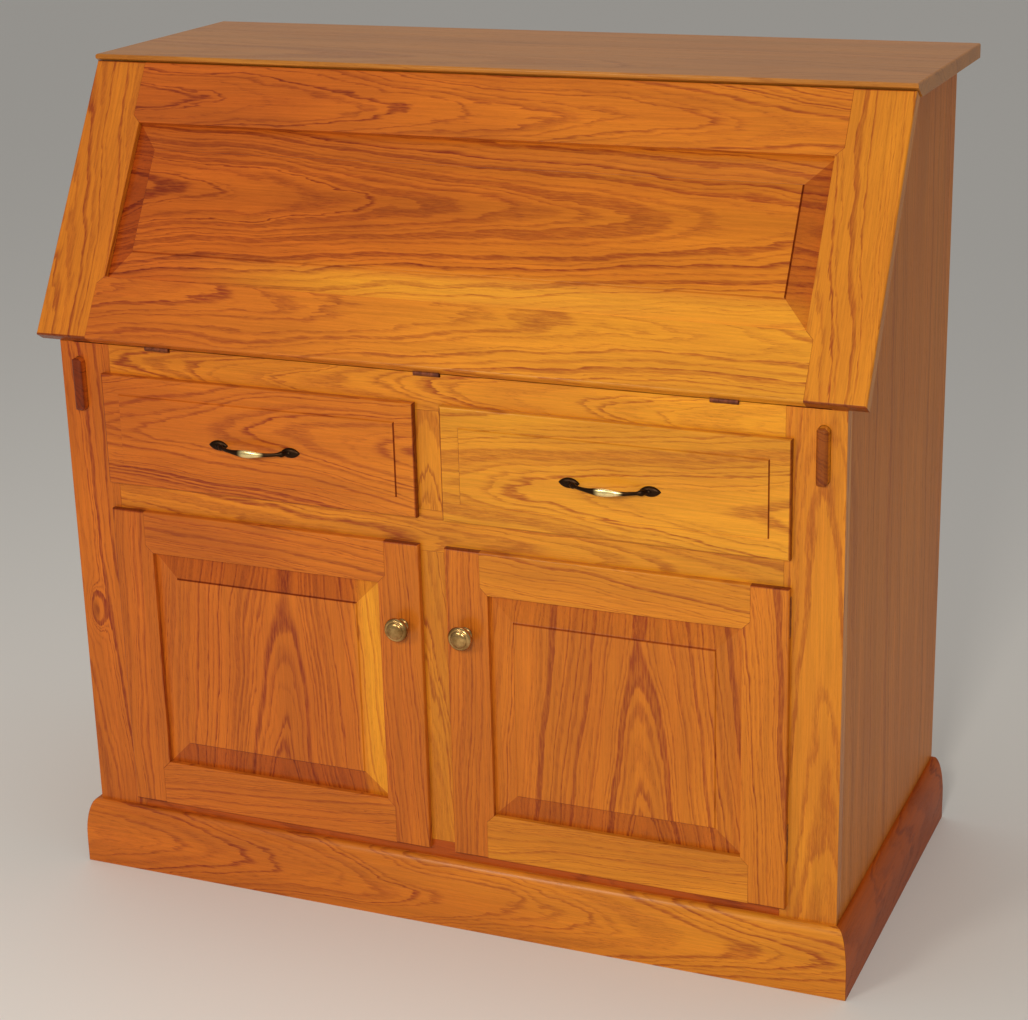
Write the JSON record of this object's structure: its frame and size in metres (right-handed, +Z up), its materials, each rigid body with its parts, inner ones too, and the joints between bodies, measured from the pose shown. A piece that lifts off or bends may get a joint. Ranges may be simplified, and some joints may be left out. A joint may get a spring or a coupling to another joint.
{
  "type": "secretary desk",
  "caption": "Slant-front secretary desk: a fall-front writing lid on sliding lopers above lipped drawers and a panelled cupboard, on a moulded plinth.",
  "frame": {"origin": "on the floor, at the middle of the desk's outline with everything shut", "axes": "+X to the right of a person who faces the desk, +Y towards its back, +Z up"},
  "size_m": [1.094, 0.553, 1.082],
  "materials": {
    "oak_front": "satin lacquer",
    "oak_side": "satin lacquer",
    "oak_loper": "satin lacquer",
    "oak_inside": "bare oak",
    "pull_bronze": "dark antique bronze with a worn bow",
    "antique_brass": "antique brass",
    "hinge_brass": "dull brass",
    "hinge_bronze": "dark antique bronze",
    "steel": "zinc plated"
  },
  "bodies": {
    "case": {"side_left": "oak_side", "side_right": "oak_side", "top_board": "oak_side", "back_panel": "oak_side", "writing_bed": "oak_front", "dust_panel": "oak_inside", "cabinet_floor": "oak_inside", "cupboard_divider": "oak_inside", "cupboard_shelves": "oak_inside", "shelf_pins": "steel", "stile_left": "oak_front", "stile_right": "oak_front", "rail_top": "oak_front", "rail_middle": "oak_front", "rail_bottom": "oak_front", "mullion_upper": "oak_front", "mullion_lower": "oak_front", "plinth_front": "oak_front", "plinth_left": "oak_side", "plinth_right": "oak_side", "drawer_runners": "oak_inside", "loper_guide_left": "oak_inside", "loper_guide_right": "oak_inside", "gallery_shelves": "oak_inside", "gallery_dividers": "oak_inside", "lid_hinge_case_leaves": "hinge_brass", "door_hinge_frame_leaves": "hinge_bronze", "door_catches": "steel"},
    "lid": {"lid_stile_left": "oak_front", "lid_stile_right": "oak_front", "lid_rail_top": "oak_front", "lid_rail_bottom": "oak_front", "lid_panel": "oak_front", "lid_hinge_leaves": "hinge_brass"},
    "loper_left": {"loper_left": "oak_loper"},
    "loper_right": {"loper_right": "oak_loper"},
    "drawer_left": {"drawer_left_front": "oak_front", "drawer_left_sides": "oak_inside", "drawer_left_back": "oak_inside", "drawer_left_bottom": "oak_inside", "drawer_left_pull": "pull_bronze"},
    "drawer_right": {"drawer_right_front": "oak_front", "drawer_right_sides": "oak_inside", "drawer_right_back": "oak_inside", "drawer_right_bottom": "oak_inside", "drawer_right_pull": "pull_bronze"},
    "door_left": {"door_left_stiles": "oak_front", "door_left_rails": "oak_front", "door_left_panel": "oak_front", "door_left_knob": "antique_brass", "door_left_hinge_leaves": "hinge_bronze", "door_left_strike": "steel"},
    "door_right": {"door_right_stiles": "oak_front", "door_right_rails": "oak_front", "door_right_panel": "oak_front", "door_right_knob": "antique_brass", "door_right_hinge_leaves": "hinge_bronze", "door_right_strike": "steel"},
    "gallery_drawer": {"gallery_drawer": "oak_front", "gallery_drawer_knob": "antique_brass"}
  },
  "joints": [
    {"name": "lid_hinge", "type": "hinge", "parent": "case", "child": "lid", "pos_m": [0, -0.2405, 0.742], "axis": [1, 0, 0], "range_deg": [0, 121.5]},
    {"name": "loper_left_slide", "type": "slide", "parent": "case", "child": "loper_left", "axis": [0, -1, 0], "range_m": [0, 0.28]},
    {"name": "loper_right_slide", "type": "slide", "parent": "case", "child": "loper_right", "axis": [0, -1, 0], "range_m": [0, 0.28]},
    {"name": "drawer_left_slide", "type": "slide", "parent": "case", "child": "drawer_left", "axis": [0, -1, 0], "range_m": [0, 0.35]},
    {"name": "drawer_right_slide", "type": "slide", "parent": "case", "child": "drawer_right", "axis": [0, -1, 0], "range_m": [0, 0.35]},
    {"name": "door_left_hinge", "type": "hinge", "parent": "case", "child": "door_left", "pos_m": [-0.4558, -0.244, 0.314], "axis": [0, 0, -1], "range_deg": [0, 105]},
    {"name": "door_right_hinge", "type": "hinge", "parent": "case", "child": "door_right", "pos_m": [0.4558, -0.244, 0.314], "axis": [0, 0, 1], "range_deg": [0, 105]},
    {"name": "gallery_drawer_slide", "type": "slide", "parent": "case", "child": "gallery_drawer", "axis": [0, -1, 0], "range_m": [0, 0.15]}
  ]
}
